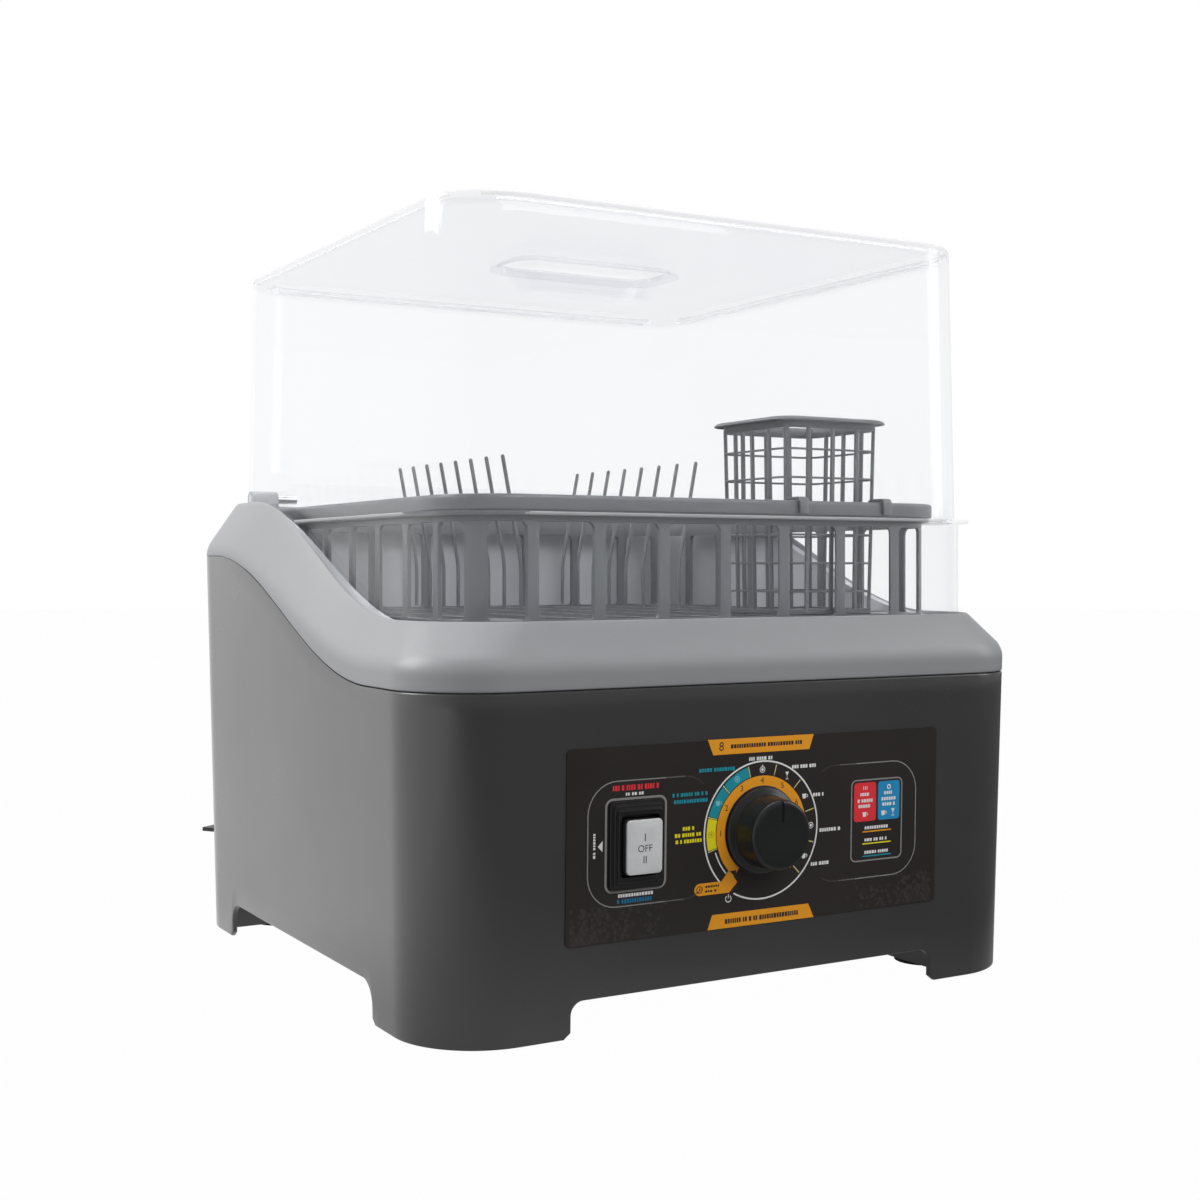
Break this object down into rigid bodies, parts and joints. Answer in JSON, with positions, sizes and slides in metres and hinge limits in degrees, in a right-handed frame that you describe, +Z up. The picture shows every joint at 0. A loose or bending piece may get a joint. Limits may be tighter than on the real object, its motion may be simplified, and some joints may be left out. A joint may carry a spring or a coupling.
{
  "type": "countertop dishwasher",
  "caption": "Square countertop dishwasher with a clear lift-up lid over a slatted dish rack and cutlery basket, and a dark base with a turning programme knob and a rocker switch.",
  "frame": {"origin": "middle of the square footprint, on the surface it stands on", "axes": "+Z up, +Y to the back where the water connections are, +X to the right as seen from the front"},
  "size_m": [0.3938, 0.4309, 0.4256],
  "materials": {
    "casing_plastic": "fine satin moulded grain, dark graphite",
    "bezel_plastic": "smooth satin light grey",
    "tub_plastic": "smooth mid grey",
    "rack_plastic": "smooth mid grey, slightly glossy edges",
    "tine_wire": "grey nylon coated wire",
    "lid_clear": "clear polished plastic",
    "hinge_steel": "ground pin",
    "rubber_black": "matt rubber",
    "screw_steel": "zinc plated",
    "black_plastic": "satin black",
    "knob_plastic": "satin black with soft gloss",
    "label_film": "printed film, dark brown grey",
    "rocker_metal": "brushed silver plate",
    "arm_plastic": "pale grey spray arm",
    "filter_steel": "stainless filter",
    "heater_steel": "stainless heater tube",
    "white_plastic": "white moulded plastic",
    "sump_plastic": "black moulded plastic",
    "motor_core": "varnished winding pack",
    "motor_alloy": "cast end shield",
    "rotor_steel": "turned steel",
    "impeller_plastic": "dark blue grey moulded plastic",
    "hose_rubber": "black hose",
    "wire_pvc": "wire insulation"
  },
  "bodies": {
    "base": {"lower_casing": "casing_plastic", "base_cover": "casing_plastic", "foot_pads": "rubber_black", "base_screws": "screw_steel", "upper_bezel": "bezel_plastic", "wash_tub": "tub_plastic", "sump_seal": "rubber_black", "sump": "sump_plastic", "sump_screws": "screw_steel", "spray_riser": "arm_plastic", "spray_cap": "rack_plastic", "heater_element": "heater_steel", "heater_clips": "screw_steel", "thermostat": "white_plastic", "wash_pump_housing": "white_plastic", "wash_motor_stator": "motor_core", "wash_motor_caps": "motor_alloy", "drain_pump_housing": "white_plastic", "drain_pump_motor": "black_plastic", "sump_hose": "hose_rubber", "outlet_hose": "hose_rubber", "drain_spigot": "sump_plastic", "inlet_valve": "white_plastic", "inlet_hose": "hose_rubber", "cable_gland": "black_plastic", "terminal_block": "white_plastic", "wiring": "wire_pvc", "water_level_switch": "white_plastic", "hose_hook": "black_plastic", "control_label": "label_film", "timer_body": "white_plastic", "timer_screws": "screw_steel", "switch_housing": "black_plastic"},
    "lid": {"lid_dome": "lid_clear", "lid_handle_cup": "lid_clear", "lid_skirt": "lid_clear", "lid_hinge_bar": "lid_clear", "hinge_pins": "hinge_steel"},
    "rack": {"rack_rim": "rack_plastic", "rack_slats": "rack_plastic", "rack_floor_grid": "rack_plastic", "rack_feet": "rack_plastic", "tine_row_left": "tine_wire", "tine_row_right": "tine_wire"},
    "basket": {"basket_floor": "rack_plastic", "basket_uprights": "rack_plastic", "basket_bands": "rack_plastic", "basket_rim": "rack_plastic", "basket_hooks": "rack_plastic"},
    "dial": {"timer_knob": "knob_plastic", "timer_shaft": "screw_steel", "timer_cam": "white_plastic"},
    "rocker": {"switch_rocker": "black_plastic", "rocker_plate": "rocker_metal"},
    "sprayer": {"spray_arm": "arm_plastic"},
    "filter": {"filter_basket": "filter_steel"},
    "wash_rotor": {"wash_motor_rotor": "rotor_steel", "wash_pump_impeller": "impeller_plastic"},
    "drain_rotor": {"drain_pump_rotor": "impeller_plastic"}
  },
  "joints": [
    {"name": "lid_hinge", "type": "hinge", "parent": "base", "child": "lid", "pos_m": [0, 0.18404, 0.282], "axis": [-1, 0, 0], "range_deg": [0, 95]},
    {"name": "rack_lift", "type": "slide", "parent": "base", "child": "rack", "axis": [0, 0, 1], "range_m": [0, 0.05]},
    {"name": "basket_lift", "type": "slide", "parent": "rack", "child": "basket", "axis": [0, 0, 1], "range_m": [0, 0.045]},
    {"name": "programme_turn", "type": "hinge", "parent": "base", "child": "dial", "pos_m": [-0.002, -0.19381, 0.0958], "axis": [0, -0.9998, -0.0209], "range_deg": [-135, 150]},
    {"name": "switch_tilt", "type": "hinge", "parent": "base", "child": "rocker", "pos_m": [-0.0801, -0.19479, 0.09478], "axis": [1, 0, 0], "range_deg": [-8, 8]},
    {"name": "spray_spin", "type": "hinge", "parent": "base", "child": "sprayer", "pos_m": [0, 0, 0.183], "axis": [0, 0, 1], "continuous": true},
    {"name": "filter_lift", "type": "slide", "parent": "base", "child": "filter", "axis": [0, 0, 1], "range_m": [0, 0.009]},
    {"name": "wash_motor_spin", "type": "hinge", "parent": "base", "child": "wash_rotor", "pos_m": [0, 0, 0.06], "axis": [0, 0, 1], "continuous": true},
    {"name": "drain_motor_spin", "type": "hinge", "parent": "base", "child": "drain_rotor", "pos_m": [-0.118, 0.092, 0.062], "axis": [1, 0, 0], "continuous": true}
  ]
}
